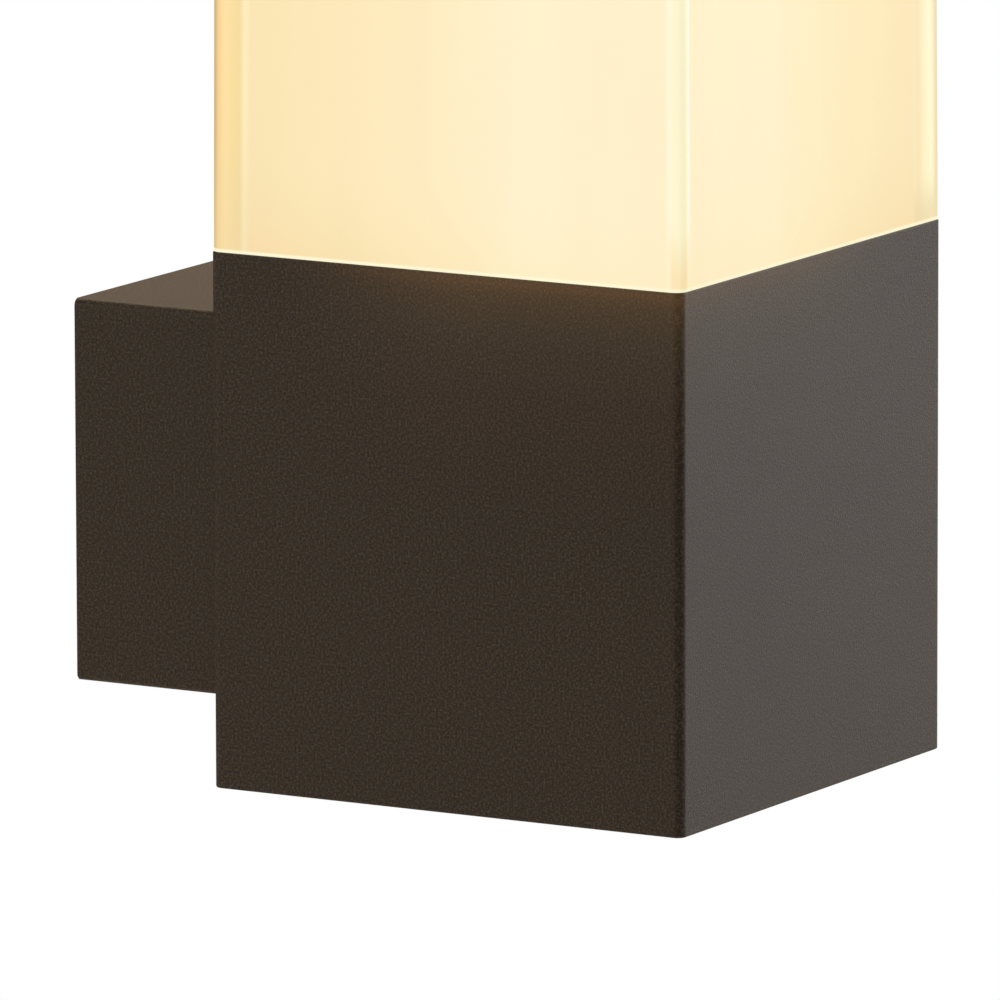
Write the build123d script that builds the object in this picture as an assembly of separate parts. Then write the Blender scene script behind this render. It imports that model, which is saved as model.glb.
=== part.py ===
from build123d import *
import os

# An outdoor wall light: a square aluminium housing carried on a square arm, with a square opal shade on top.
# The wall is the plane Y = 0, the light stands out along -Y, and +Z is up. The origin is the middle of the
# two wall screws. All sizes are in millimetres.

# Driving dimensions
housing_side = 110.0
housing_height = 111.2
housing_drop = 56.0
housing_corner_r = 2.0
housing_wall = 3.0
arm_side = 80.0
arm_reach = 41.5
arm_corner_r = 1.5
inner_corner_r = 1.0
arm_wall = 3.0
arm_front_wall = 4.0
shade_height = 168.8
shade_wall = 5.0
shade_corner_r = 2.5
shade_draft = 0.4
shade_rim_round = 1.2
rim_round = 0.4
plate_corner_r = 1.5

# Clearances
loose_gap = 0.2
thread_gap = 0.05
slide_gap = 0.3
spring_gap = 0.2

# Screw sizes
m4_r = 2.0
m4_hole_r = 2.25
m3_r = 1.5
m3_hole_r = 1.7
m4_head_r = 3.6
m4_head_height = 2.4
m4_socket_r = 1.45
m3_head_r = 2.7
m3_head_height = 1.8
m3_socket_r = 1.15
small_head_r = 2.4

# Places worked out from the driving dimensions
axis_y = -(arm_reach + housing_side / 2)
housing_bottom = -housing_drop
housing_top = housing_bottom + housing_height
housing_inner = housing_side - 2 * housing_wall
housing_back_inside_y = -arm_reach - housing_wall
arm_front_inside_y = -arm_reach + arm_front_wall
shade_side = housing_side
shade_inner = shade_side - 2 * shade_wall
shade_top = housing_top + shade_height

# Screw ports in the housing's corners
port_side = 12.5
port_centre = housing_inner / 2 - 8.5
port_bore_depth = 13.0
port_root = 0.5

# Bottom cover, set up into the housing
cover_recess = 3.0
cover_thickness = 3.0
cover_gasket_thickness = 1.5
cover_gasket_opening = 76.0
drain_hole_r = 2.5
cover_low = housing_bottom + cover_recess
cover_high = cover_low + cover_thickness
ports_low = cover_high + cover_gasket_thickness

# Collar that the shade sits over
collar_flange_thickness = 2.0
collar_wall = 1.5
collar_flange_top = housing_top - 4.0
collar_flange_low = collar_flange_top - collar_flange_thickness
ports_high = collar_flange_low
collar_side = shade_inner - 2 * slide_gap
collar_opening = 72.0
collar_opening_r = 4.0
collar_top = housing_top + 12.0
collar_inside = collar_side / 2 - collar_wall

# Spring clips that hold the shade
clip_width = 6.0
clip_thickness = 0.4
clip_window_width = 8.0
clip_window_low = housing_top + 0.5
clip_window_high = housing_top + 8.5
clip_foot_gap = 1.2
clip_head_gap = 0.5
clip_bump_rise = 3.3
clip_bump_flat = 0.5

# Reflector and lampholder
reflector_low = housing_top + 6.0
reflector_thickness = 1.0
reflector_side = 93.2
reflector_flange_width = 60.0
reflector_hole_r = 19.9
bracket_thickness = 1.5
bracket_width = 24.0
bracket_half_span = 31.5
bracket_foot_reach = 45.0
bracket_web_top = 30.0
bracket_screw_x = 41.0
holder_base_r = 21.0
holder_base_height = 14.0
holder_skirt_r = 19.5
holder_shoulder_r = 23.5
holder_shoulder_thickness = 3.5
holder_height = 52.0
holder_bore_r = 15.0
holder_well_r = 12.5
holder_floor = 18.0
holder_step = 26.0
holder_screw_x = 12.0
holder_thread_depth = 10.0
contact_leaf_thickness = 0.6
contact_leaf_width = 6.0
sleeve_outer_r = 14.8
sleeve_inner_r = 13.9
sleeve_length = 25.0
ring_r = 25.0
ring_height = 5.0
ring_chamfer = 0.8
ring_notch_r = 1.4
ring_notches = 16
terminal_post_x = 7.0
terminal_post_y = axis_y + 16.5
terminal_post_r = 2.5
terminal_post_length = 8.0
post_bore_depth = 5.0
post_screw_height = 2.5
post_screw_r = 0.8
post_head_r = 1.7
post_head_height = 1.6
post_slot_width = 0.5
post_slot_depth = 0.7

# E27 lamp, standing on its foot contact
lamp_low = bracket_web_top + 24.2
lamp_length = 108.0
lamp_r = 30.0
cap_crest_r = 13.2
cap_root_r = 12.4
cap_pitch = 3.629
cap_rings = 6
lamp_neck_r = 14.0
foot_contact_r = 4.8
foot_contact_height = 1.8
foot_contact_round = 1.2
globe_thickness = 1.2

# Wall plate and its gasket
plate_width = 72.0
plate_height = 69.0
plate_thickness = 2.0
wall_plate_corner_r = 2.0
wall_gasket_thickness = 2.0
plate_tab_width = 60.0
plate_tab_depth = 13.0
wall_slot_spacing = 50.0
wall_slot_width = 5.0
wall_slot_length = 12.0
entry_hole_r = 8.0
entry_flange_r = 10.0
entry_bore_r = 4.5
entry_nose_length = 3.0
entry_nose_chamfer = 2.0
plate_back_y = -wall_gasket_thickness
plate_front_y = plate_back_y - plate_thickness

# Arm fixings
arm_screw_offset = 28.0
arm_boss_r = 5.0
arm_boss_depth = 8.7
arm_thread_depth = 10.0
blind_floor = 1.0
groove_outer = 70.0
groove_inner = 64.0
groove_depth = 1.5
lock_screw_x = 20.0
lock_screw_y = -11.0
lock_pad_side = 12.0
lock_pad_height = 2.0
lock_screw_recess = 0.3
lock_screw_tip_gap = 0.1
lock_screw_chamfer = 0.5
lock_socket_depth = 2.0
rim_seal_outer = 77.0
rim_seal_depth = 3.0

# Wire passage from the arm into the housing
bush_z = 20.0
bush_r = 8.0
bush_flange_r = 10.5
bush_flange_thickness = 1.5
bush_bore_r = 6.0

# Terminal block and wires
pole_pitch = 10.0
block_width = 32.0
block_depth = 13.5
block_low = -28.0
block_high = -10.0
tube_y = arm_front_inside_y + 7.5
tube_r = 2.6
tube_bore_r = 1.6
clamp_screw_r = 1.4
clamp_screw_inset = 4.0
block_screw_x = -pole_pitch / 2
block_screw_seat_r = 2.6
block_screw_seat_depth = 3.0
block_screw_length = 13.0
block_groove_width = 3.2
block_groove_depth = 2.0
clamp_slot_width = 0.5
clamp_slot_depth = 0.8
wire_start_inset = 1.5
wire_straight = 4.0
wire_r = 1.1
earth_screw_x = 30.0
earth_screw_z = 16.0
earth_tag_thickness = 0.8
earth_tag_ring_r = 4.4
earth_tag_neck_width = 4.0
earth_barrel_r = 2.2
earth_barrel_length = 6.0
earth_barrel_lift = 2.3
earth_barrel_offset = 12.0
earth_screw_length = 3.5

signs = (-1, 1)


def square_bar(side, low, high, corner_r):
    """An upright square bar on the lamp's axis."""
    return Pos(0, axis_y, low) * extrude(RectangleRounded(side, side, corner_r), high - low)


def square_ring(outer, inner, low, high, outer_r, inner_r):
    """An upright square tube on the lamp's axis."""
    return square_bar(outer, low, high, outer_r) - square_bar(inner, low, high, inner_r)


def block(x_range, y_range, z_range):
    """A box given by its lowest and highest X, Y and Z."""
    sizes = [high - low for low, high in (x_range, y_range, z_range)]
    middle = [(high + low) / 2 for low, high in (x_range, y_range, z_range)]
    return Pos(*middle) * Box(*sizes)


def y_bar(outline, y_from, y_to):
    """An outline, drawn as seen from the front, made into a bar along Y."""
    front = Plane(origin=(0, y_from, 0), x_dir=(1, 0, 0), z_dir=(0, -1, 0))
    return extrude(front * outline, y_from - y_to)


def y_rod(x, z, radius, y_from, y_to):
    """A round rod along Y."""
    return y_bar(Pos(x, z) * Circle(radius), y_from, y_to)


def z_rod(x, y, radius, low, high):
    """A round rod along Z."""
    return Pos(x, y, low) * extrude(Circle(radius), high - low)


def turned(outline_points):
    """A turned piece on the lamp's axis, from (radius, height) points."""
    face = make_face(Plane.XZ * Polyline(*outline_points, close=True))
    return Pos(0, axis_y, 0) * revolve(face, Axis.Z)


def port_places():
    """The four screw ports, as (x, y)."""
    return [(sx * port_centre, axis_y + sy * port_centre) for sx in signs for sy in signs]


def arm_screw_places():
    """The four screws between arm and housing, as (x, z)."""
    return [(sx * arm_screw_offset, sz * arm_screw_offset) for sx in signs for sz in signs]


def pan_screw(radius, length, head_r, head_height, socket_r):
    """A pan-head screw with a hexagon socket, its shank down from the origin."""
    head = extrude(Circle(head_r), head_height)
    head = fillet(head.edges().sort_by(Axis.Z)[-1], head_height * 0.45)
    socket = Pos(0, 0, head_height * 0.4) * extrude(RegularPolygon(socket_r, 6), head_height)
    shank = Pos(0, 0, -length) * extrude(Circle(radius), length)
    shank = chamfer(shank.edges().sort_by(Axis.Z)[0], radius * 0.25)
    return head - socket + shank


def m4_screw(length):
    return pan_screw(m4_r, length, m4_head_r, m4_head_height, m4_socket_r)


def m3_screw(length):
    return pan_screw(m3_r, length, m3_head_r, m3_head_height, m3_socket_r)


# Wall plate --------------------------------------------------------------------------------------

def wall_slots():
    """The two slots for the wall screws, drawn as seen from the front."""
    slot = SlotOverall(wall_slot_length, wall_slot_width)
    return [Pos(sx * wall_slot_spacing / 2, 0) * slot for sx in signs]


def wall_gasket():
    outline = RectangleRounded(plate_width, plate_height, wall_plate_corner_r)
    sheet = y_bar(outline, 0, plate_back_y)
    for slot in wall_slots():
        sheet -= y_bar(slot, 0, plate_back_y)
    return sheet - y_rod(0, 0, entry_flange_r + loose_gap, 0, plate_back_y)


def wall_plate():
    """A pressed steel plate with a tab along its top and bottom edges."""
    half_tab = plate_tab_width / 2
    tab_y = (plate_front_y - plate_tab_depth, plate_back_y)
    outline = RectangleRounded(plate_width, plate_height, wall_plate_corner_r)
    plate = y_bar(outline, plate_back_y, plate_front_y)
    for sz in signs:
        tab_z = sorted((sz * plate_height / 2, sz * (plate_height / 2 - plate_thickness)))
        plate += block((-half_tab, half_tab), tab_y, tab_z)
    for slot in wall_slots():
        plate -= y_bar(slot, plate_back_y, plate_front_y)
    return plate - y_rod(0, 0, entry_hole_r, plate_back_y, plate_front_y)


def entry_grommet():
    """A rubber grommet snapped into the plate's cable hole."""
    grommet = y_rod(0, 0, entry_flange_r, 0, plate_back_y)
    grommet += y_rod(0, 0, entry_hole_r, plate_back_y, plate_front_y)
    nose_y = plate_front_y - entry_nose_length
    nose = y_rod(0, 0, entry_flange_r, plate_front_y, nose_y)
    grommet += chamfer(nose.edges().sort_by(Axis.Y)[0], entry_nose_chamfer)
    return grommet - y_rod(0, 0, entry_bore_r, 0, nose_y)


# Arm ---------------------------------------------------------------------------------------------

def arm_block():
    """A die-cast box, open towards the wall."""
    inside = arm_side - 2 * arm_wall
    outline = RectangleRounded(arm_side, arm_side, arm_corner_r)
    arm = y_bar(outline, 0, -arm_reach)
    arm -= y_bar(RectangleRounded(inside, inside, inner_corner_r), 0, arm_front_inside_y)
    for x, z in arm_screw_places():
        arm += y_rod(x, z, arm_boss_r, arm_front_inside_y + arm_boss_depth, arm_front_inside_y)
        arm -= y_rod(x, z, m4_r + thread_gap, -arm_reach + arm_thread_depth, -arm_reach)
    pad_top = -inside / 2 + lock_pad_height
    for sx in signs:
        pad_x = (sx * lock_screw_x - lock_pad_side / 2, sx * lock_screw_x + lock_pad_side / 2)
        pad_y = (lock_screw_y - lock_pad_side / 2, lock_screw_y + lock_pad_side / 2)
        arm += block(pad_x, pad_y, (-inside / 2, pad_top))
        arm -= z_rod(sx * lock_screw_x, lock_screw_y, m4_r + thread_gap, -arm_side / 2, pad_top)
    arm -= y_bar(Rectangle(groove_outer, groove_outer) - Rectangle(groove_inner, groove_inner),
                 -arm_reach + groove_depth, -arm_reach)
    arm -= y_bar(Rectangle(rim_seal_outer, rim_seal_outer), 0, -rim_seal_depth)
    arm -= y_rod(0, bush_z, bush_r, arm_front_inside_y, -arm_reach)
    blind_y = -arm_reach + blind_floor
    block_screw_z = (block_low + block_high) / 2
    arm -= y_rod(earth_screw_x, earth_screw_z, m4_r + thread_gap, arm_front_inside_y, blind_y)
    arm -= y_rod(block_screw_x, block_screw_z, m3_r + thread_gap, arm_front_inside_y, blind_y)
    return arm


def arm_rim_seal():
    """A foam ring set in the arm's rim, where it meets the wall."""
    inside = arm_side - 2 * arm_wall
    return y_bar(Rectangle(rim_seal_outer, rim_seal_outer) - Rectangle(inside, inside), 0, -rim_seal_depth)


def arm_gasket():
    """A silicone ring in the groove of the arm's front face."""
    ring = Rectangle(groove_outer, groove_outer) - Rectangle(groove_inner, groove_inner)
    return y_bar(ring, -arm_reach + groove_depth, -arm_reach)


def arm_screws():
    """Four screws, put in from inside the housing."""
    turn = Rot(90, 0, 0)
    return [Pos(x, housing_back_inside_y, z) * turn * m4_screw(12) for x, z in arm_screw_places()]


def locking_screws():
    """Two socket grub screws, up through the arm's underside against the plate's lower tab."""
    low = -arm_side / 2 + lock_screw_recess
    high = -plate_height / 2 - lock_screw_tip_gap
    screws = []
    for sx in signs:
        screw = z_rod(sx * lock_screw_x, lock_screw_y, m4_r, low, high)
        screw = chamfer(screw.edges().sort_by(Axis.Z)[-1], lock_screw_chamfer)
        socket = extrude(RegularPolygon(m3_socket_r, 6), lock_socket_depth)
        screws.append(screw - Pos(sx * lock_screw_x, lock_screw_y, low) * socket)
    return screws


def wire_bush():
    """A rubber bush through the arm's front wall and the housing's back wall."""
    arm_end = arm_front_inside_y + bush_flange_thickness
    housing_end = housing_back_inside_y - bush_flange_thickness
    bush = y_rod(0, bush_z, bush_r, arm_end, housing_end)
    bush += y_rod(0, bush_z, bush_flange_r, arm_end, arm_front_inside_y)
    bush += y_rod(0, bush_z, bush_flange_r, housing_back_inside_y, housing_end)
    return bush - y_rod(0, bush_z, bush_bore_r, arm_end, housing_end)


# Terminal block and wiring -----------------------------------------------------------------------

def pole_places():
    """The three poles' X: live, neutral and earth."""
    return [-pole_pitch, 0.0, pole_pitch]


def clamp_heights():
    return [block_low + clamp_screw_inset, block_high - clamp_screw_inset]


def terminal_block():
    """A three-pole polyamide block on the arm's front wall."""
    back = arm_front_inside_y + block_depth
    body = block((-block_width / 2, block_width / 2), (arm_front_inside_y, back), (block_low, block_high))
    for x in (-1.5 * pole_pitch, -0.5 * pole_pitch, 0.5 * pole_pitch, 1.5 * pole_pitch):
        groove_x = (x - block_groove_width / 2, x + block_groove_width / 2)
        body -= block(groove_x, (back - block_groove_depth, back), (block_low, block_high))
    for x in pole_places():
        body -= z_rod(x, tube_y, tube_r + thread_gap, block_low, block_high)
        for z in clamp_heights():
            body -= y_rod(x, z, clamp_screw_r + 0.4, back, tube_y)
    middle = (block_low + block_high) / 2
    body -= y_rod(block_screw_x, middle, block_screw_seat_r, back, back - block_screw_seat_depth)
    return body - y_rod(block_screw_x, middle, m3_hole_r, back, arm_front_inside_y)


def terminal_tubes():
    """Three brass tubes, each with two clamping screws."""
    tubes = []
    for x in pole_places():
        tube = z_rod(x, tube_y, tube_r, block_low + 1.0, block_high - 1.0)
        tube -= z_rod(x, tube_y, tube_bore_r, block_low, block_high)
        for z in clamp_heights():
            tube -= y_rod(x, z, clamp_screw_r + thread_gap, tube_y + tube_r + 1.0, tube_y)
        tubes.append(tube)
    return tubes


def clamp_screw(length):
    """A slotted grub screw, its slot at the origin and its tip down."""
    screw = Pos(0, 0, -length) * extrude(Circle(clamp_screw_r), length)
    slot = Box(2 * clamp_screw_r, clamp_slot_width, clamp_slot_depth)
    return screw - Pos(0, 0, -clamp_slot_depth / 2) * slot


def terminal_screws():
    top_y = arm_front_inside_y + block_depth - 1.5
    length = top_y - (tube_y + wire_r + 0.1)
    return [Pos(x, top_y, z) * Rot(-90, 0, 0) * clamp_screw(length)
            for x in pole_places() for z in clamp_heights()]


def terminal_fixing_screw():
    seat_y = arm_front_inside_y + block_depth - block_screw_seat_depth
    screw = pan_screw(m3_r, block_screw_length, small_head_r, m3_head_height, m3_socket_r)
    return Pos(block_screw_x, seat_y, (block_low + block_high) / 2) * Rot(-90, 0, 0) * screw


def wire(points, radii):
    """A round wire along straight runs joined by tangent arcs."""
    path = FilletPolyline(*points, radius=radii)
    section = Plane(origin=path @ 0, z_dir=path % 0) * Circle(wire_r)
    tube = sweep(section, path=path)
    runs = f"length {path.length:.1f} mm, radii {radii} mm"
    share = tube.volume / (path.length * section.area)
    print(f"wire: {runs}, volume over section times length {share:.4f}")
    return tube


def lamp_wire(side, pole_x):
    """A wire from its pole, through the bush, in a slack loop up to the lampholder's terminal post."""
    start_z = block_high - clamp_screw_inset - wire_start_inset
    in_bush_x = side * 2.4
    post_mouth = bracket_web_top - terminal_post_length
    points = [(pole_x, tube_y, start_z),
              (pole_x, tube_y, block_high + wire_straight),
              (in_bush_x, tube_y, bush_z),
              (in_bush_x, -56.0, bush_z),
              (side * 5.0, -62.0, -8.0),
              (side * terminal_post_x, terminal_post_y, -8.0),
              (side * terminal_post_x, terminal_post_y, post_mouth + 3.0)]
    return wire(points, [12.0, 8.0, 12.0, 9.0, 8.0])


def live_wire():
    return lamp_wire(-1, pole_places()[0])


def neutral_wire():
    return lamp_wire(1, pole_places()[1])


def earth_wire():
    """A short wire from its pole to the ring tag under the earth screw."""
    start_z = block_high - clamp_screw_inset - wire_start_inset
    tag_y = arm_front_inside_y + earth_barrel_lift
    points = [(pole_places()[2], tube_y, start_z),
              (pole_places()[2], tube_y, block_high + wire_straight),
              (pole_places()[2], tag_y, earth_screw_z),
              (earth_screw_x - 8.0, tag_y, earth_screw_z)]
    return wire(points, [12.0, 8.0])


def earth_tag():
    """A crimped ring tag, flat on the arm's front wall."""
    face_y = arm_front_inside_y
    tag = y_rod(earth_screw_x, earth_screw_z, earth_tag_ring_r, face_y + earth_tag_thickness, face_y)
    neck_x = (earth_screw_x - 7.0, earth_screw_x - 2.0)
    neck_z = (earth_screw_z - earth_tag_neck_width / 2, earth_screw_z + earth_tag_neck_width / 2)
    tag += block(neck_x, (face_y, face_y + earth_tag_thickness), neck_z)
    barrel_y = face_y + earth_barrel_lift
    across = Plane(origin=(earth_screw_x - earth_barrel_offset, barrel_y, earth_screw_z), z_dir=(1, 0, 0))
    barrel = extrude(across * Circle(earth_barrel_r), earth_barrel_length)
    bore = extrude(across * Circle(wire_r + thread_gap), earth_barrel_length)
    hole = y_rod(earth_screw_x, earth_screw_z, m4_hole_r, face_y + earth_tag_thickness, face_y)
    return tag + barrel - bore - hole


def earth_screw():
    place = Pos(earth_screw_x, arm_front_inside_y + earth_tag_thickness, earth_screw_z)
    return place * Rot(-90, 0, 0) * m4_screw(earth_screw_length)


# Housing -----------------------------------------------------------------------------------------

def housing():
    """An extruded square tube with a screw port in each corner."""
    tube = square_bar(housing_side, housing_bottom, housing_top, housing_corner_r)
    edges = tube.edges().sort_by(Axis.Z)
    ends = edges.filter_by_position(Axis.Z, housing_bottom - 0.01, housing_bottom + 0.01)
    ends += edges.filter_by_position(Axis.Z, housing_top - 0.01, housing_top + 0.01)
    tube = fillet(ends, rim_round)
    tube -= square_bar(housing_inner, housing_bottom, housing_top, inner_corner_r)
    half_port = port_side / 2
    for x, y in port_places():
        sx = 1 if x > 0 else -1
        sy = 1 if y > axis_y else -1
        reach = housing_inner / 2 - half_port + port_root
        corner = (sx * reach, axis_y + sy * reach)
        tube += Pos(*corner, ports_low) * extrude(Rectangle(port_side, port_side), ports_high - ports_low)
        tube -= z_rod(x, y, m4_r + thread_gap, ports_low, ports_low + port_bore_depth)
        tube -= z_rod(x, y, m4_r + thread_gap, ports_high - port_bore_depth, ports_high)
    for x, z in arm_screw_places():
        tube -= y_rod(x, z, m4_hole_r, -arm_reach, housing_back_inside_y)
    return tube - y_rod(0, bush_z, bush_r, -arm_reach, housing_back_inside_y)


def bottom_cover():
    """A plate set up into the housing, with a drain hole in the middle."""
    cover = square_bar(housing_inner - 2 * loose_gap, cover_low, cover_high, plate_corner_r)
    for x, y in port_places():
        cover -= z_rod(x, y, m4_hole_r, cover_low, cover_high)
    return cover - z_rod(0, axis_y, drain_hole_r, cover_low, cover_high)


def bottom_gasket():
    gasket = square_ring(housing_inner - 1.0, cover_gasket_opening, cover_high, ports_low,
                         plate_corner_r, 2 * plate_corner_r)
    for x, y in port_places():
        gasket -= z_rod(x, y, m4_hole_r, cover_high, ports_low)
    return gasket


def bottom_screws():
    turn = Rot(180, 0, 0)
    return [Pos(x, y, cover_low) * turn * m4_screw(14) for x, y in port_places()]


# Collar, clips and seal under the shade ----------------------------------------------------------

def shade_collar():
    """A pressed aluminium frame: a flange on the ports and an upstand inside the shade."""
    collar = square_bar(housing_inner - 2 * slide_gap, collar_flange_low, collar_flange_top, plate_corner_r)
    collar += square_bar(collar_side, collar_flange_top, collar_top, shade_corner_r)
    collar -= square_bar(2 * collar_inside, collar_flange_top, collar_top, shade_corner_r - collar_wall / 2)
    collar -= square_bar(collar_opening, collar_flange_low, collar_flange_top, collar_opening_r)
    window = (clip_window_low, clip_window_high)
    half_window = clip_window_width / 2
    half = collar_side
    collar -= block((-half, half), (axis_y - half_window, axis_y + half_window), window)
    collar -= block((-half_window, half_window), (axis_y - half, axis_y + half), window)
    for x, y in port_places():
        collar -= z_rod(x, y, m4_hole_r, collar_flange_low, collar_flange_top)
    for sx in signs:
        collar -= z_rod(sx * bracket_screw_x, axis_y, m3_r + thread_gap, collar_flange_low, collar_flange_top)
    return collar


def collar_screws():
    return [Pos(x, y, collar_flange_top) * m4_screw(12) for x, y in port_places()]


def shade_clips():
    """Four spring strips inside the collar, each with a bump through its window to the shade."""
    outer = collar_inside
    inner = outer - clip_thickness
    bump = shade_inner / 2 - spring_gap
    low = collar_flange_top + clip_foot_gap
    high = collar_top - clip_head_gap
    middle = (clip_window_low + clip_window_high) / 2
    rise = clip_bump_rise
    flat = clip_bump_flat
    outline = [(outer, low), (outer, middle - rise), (bump, middle - flat), (bump, middle + flat),
               (outer, middle + rise), (outer, high), (inner, high), (inner, middle + rise - 0.1),
               (bump - clip_thickness, middle + flat - 0.1), (bump - clip_thickness, middle - flat + 0.1),
               (inner, middle - rise + 0.1), (inner, low)]
    strip = extrude(make_face(Plane.XZ * Polyline(*outline, close=True)), clip_width / 2, both=True)
    return [Pos(0, axis_y, 0) * Rot(0, 0, angle) * strip for angle in (0, 90, 180, 270)]


def shade_gasket():
    outer = housing_inner - 4 * loose_gap
    inner = collar_side + 2 * loose_gap
    return square_ring(outer, inner, collar_flange_top, housing_top, plate_corner_r, shade_corner_r)


def reflector():
    """A white sheet around the lampholder, standing on four folded flanges."""
    high = reflector_low + reflector_thickness
    plate = square_bar(reflector_side, reflector_low, high, plate_corner_r)
    plate -= z_rod(0, axis_y, reflector_hole_r, reflector_low, high)
    edge = reflector_side / 2
    half_flange = reflector_flange_width / 2
    flange = block((edge - reflector_thickness, edge), (-half_flange, half_flange),
                   (collar_flange_top, reflector_low))
    for angle in (0, 90, 180, 270):
        plate += Pos(0, axis_y, 0) * Rot(0, 0, angle) * flange
    return plate


# Lampholder --------------------------------------------------------------------------------------

def holder_bracket():
    """A folded strip that hangs the lampholder below the collar's flange."""
    foot_top = collar_flange_top + bracket_thickness
    web_low = bracket_web_top - bracket_thickness
    half_width = bracket_width / 2
    y_range = (axis_y - half_width, axis_y + half_width)
    bracket = block((-bracket_half_span, bracket_half_span), y_range, (web_low, bracket_web_top))
    for sx in signs:
        leg_x = sorted((sx * bracket_half_span, sx * (bracket_half_span - bracket_thickness)))
        foot_x = sorted((sx * (bracket_half_span - bracket_thickness), sx * bracket_foot_reach))
        bracket += block(leg_x, y_range, (web_low, foot_top))
        bracket += block(foot_x, y_range, (collar_flange_top, foot_top))
        bracket -= z_rod(sx * bracket_screw_x, axis_y, m3_hole_r, collar_flange_top, foot_top)
        bracket -= z_rod(sx * holder_screw_x, axis_y, m4_hole_r, web_low, bracket_web_top)
    return bracket


def bracket_screws():
    foot_top = collar_flange_top + bracket_thickness
    return [Pos(sx * bracket_screw_x, axis_y, foot_top) * m3_screw(6) for sx in signs]


def lampholder():
    """A moulded E27 lampholder with a shoulder for the reflector."""
    low = bracket_web_top
    high = low + holder_height
    shoulder_high = reflector_low
    shoulder_low = shoulder_high - holder_shoulder_thickness
    base_high = low + holder_base_height
    holder = turned([(0, low), (holder_base_r, low), (holder_base_r, base_high),
                     (holder_skirt_r, base_high), (holder_skirt_r, shoulder_low),
                     (holder_shoulder_r, shoulder_low), (holder_shoulder_r, shoulder_high),
                     (holder_skirt_r, shoulder_high), (holder_skirt_r, high), (holder_bore_r, high),
                     (holder_bore_r, low + holder_step), (holder_well_r, low + holder_step),
                     (holder_well_r, low + holder_floor), (0, low + holder_floor)])
    for sx in signs:
        holder -= z_rod(sx * holder_screw_x, axis_y, m4_r + thread_gap, low, low + holder_thread_depth)
    return holder


def holder_sleeve():
    """The lampholder's metal screw shell."""
    low = bracket_web_top + holder_step
    return (z_rod(0, axis_y, sleeve_outer_r, low, low + sleeve_length)
            - z_rod(0, axis_y, sleeve_inner_r, low, low + sleeve_length))


def holder_contact():
    """The springy bridge that the lamp's foot presses on."""
    floor = bracket_web_top + holder_floor
    top = lamp_low - spring_gap
    foot_top = floor + contact_leaf_thickness
    under = top - contact_leaf_thickness
    outline = [(-9, floor), (-6, floor), (-3, under), (3, under), (6, floor), (9, floor),
               (9, foot_top), (6.3, foot_top), (3.3, top), (-3.3, top), (-6.3, foot_top), (-9, foot_top)]
    leaf = extrude(make_face(Plane.XZ * Polyline(*outline, close=True)), contact_leaf_width / 2, both=True)
    return Pos(0, axis_y, 0) * leaf


def holder_screws():
    web_low = bracket_web_top - bracket_thickness
    return [Pos(sx * holder_screw_x, axis_y, web_low) * Rot(180, 0, 0) * m4_screw(10) for sx in signs]


def terminal_posts():
    """Two brass posts under the lampholder's base, each with a bore for its wire."""
    low = bracket_web_top - terminal_post_length
    posts = []
    for sx in signs:
        post = z_rod(sx * terminal_post_x, terminal_post_y, terminal_post_r, low, bracket_web_top)
        mouth_y = terminal_post_y + terminal_post_r
        post -= z_rod(sx * terminal_post_x, terminal_post_y, wire_r + 0.15, low, low + post_bore_depth)
        screw_z = low + post_screw_height
        post -= y_rod(sx * terminal_post_x, screw_z, post_screw_r + thread_gap, mouth_y, terminal_post_y)
        posts.append(post)
    return posts


def post_screws():
    """The posts' two side screws."""
    z = bracket_web_top - terminal_post_length + post_screw_height
    head_y = terminal_post_y + terminal_post_r + 0.1
    head_end = head_y + post_head_height
    tip_y = terminal_post_y + wire_r + 0.1
    slot_z = (z - post_slot_width / 2, z + post_slot_width / 2)
    screws = []
    for sx in signs:
        x = sx * terminal_post_x
        screw = y_rod(x, z, post_screw_r, head_y, tip_y)
        head = y_rod(x, z, post_head_r, head_end, head_y)
        slot = block((x - post_head_r, x + post_head_r), (head_end - post_slot_depth, head_end), slot_z)
        screws.append(screw + head - slot)
    return screws


def shade_ring():
    """The ring nut that clamps the reflector down on the lampholder's shoulder."""
    low = reflector_low + reflector_thickness
    high = low + ring_height
    ring = z_rod(0, axis_y, ring_r, low, high)
    ring = chamfer(ring.edges().sort_by(Axis.Z)[-1], ring_chamfer)
    ring -= z_rod(0, axis_y, holder_skirt_r + 0.1, low, high)
    notch = Pos(ring_r, 0, low) * extrude(Circle(ring_notch_r), ring_height)
    for step in range(ring_notches):
        ring -= Pos(0, axis_y, 0) * Rot(0, 0, step * 360 / ring_notches) * notch
    return ring


# Lamp --------------------------------------------------------------------------------------------

cap_low = lamp_low + 4.3
cap_high = lamp_low + 27.3
seam_z = lamp_low + lamp_length - 40.0


def lamp_foot_contact():
    button = z_rod(0, axis_y, foot_contact_r, lamp_low, lamp_low + foot_contact_height)
    return fillet(button.edges().sort_by(Axis.Z)[0], foot_contact_round)


def lamp_cap_insulator():
    low = lamp_low + foot_contact_height
    return turned([(0, low), (5.2, low), (11.6, cap_low), (0, cap_low)])


def lamp_cap():
    """The cap's shell, its thread drawn as plain rings at the thread's pitch."""
    first = cap_low + 0.8
    points = [(0, cap_low), (cap_root_r, cap_low), (cap_root_r, first)]
    for ring in range(cap_rings):
        base = first + ring * cap_pitch
        points += [(cap_crest_r, base + 0.3 * cap_pitch), (cap_crest_r, base + 0.6 * cap_pitch),
                   (cap_root_r, base + 0.9 * cap_pitch)]
    points += [(cap_root_r, cap_high), (0, cap_high)]
    return turned(points)


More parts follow.
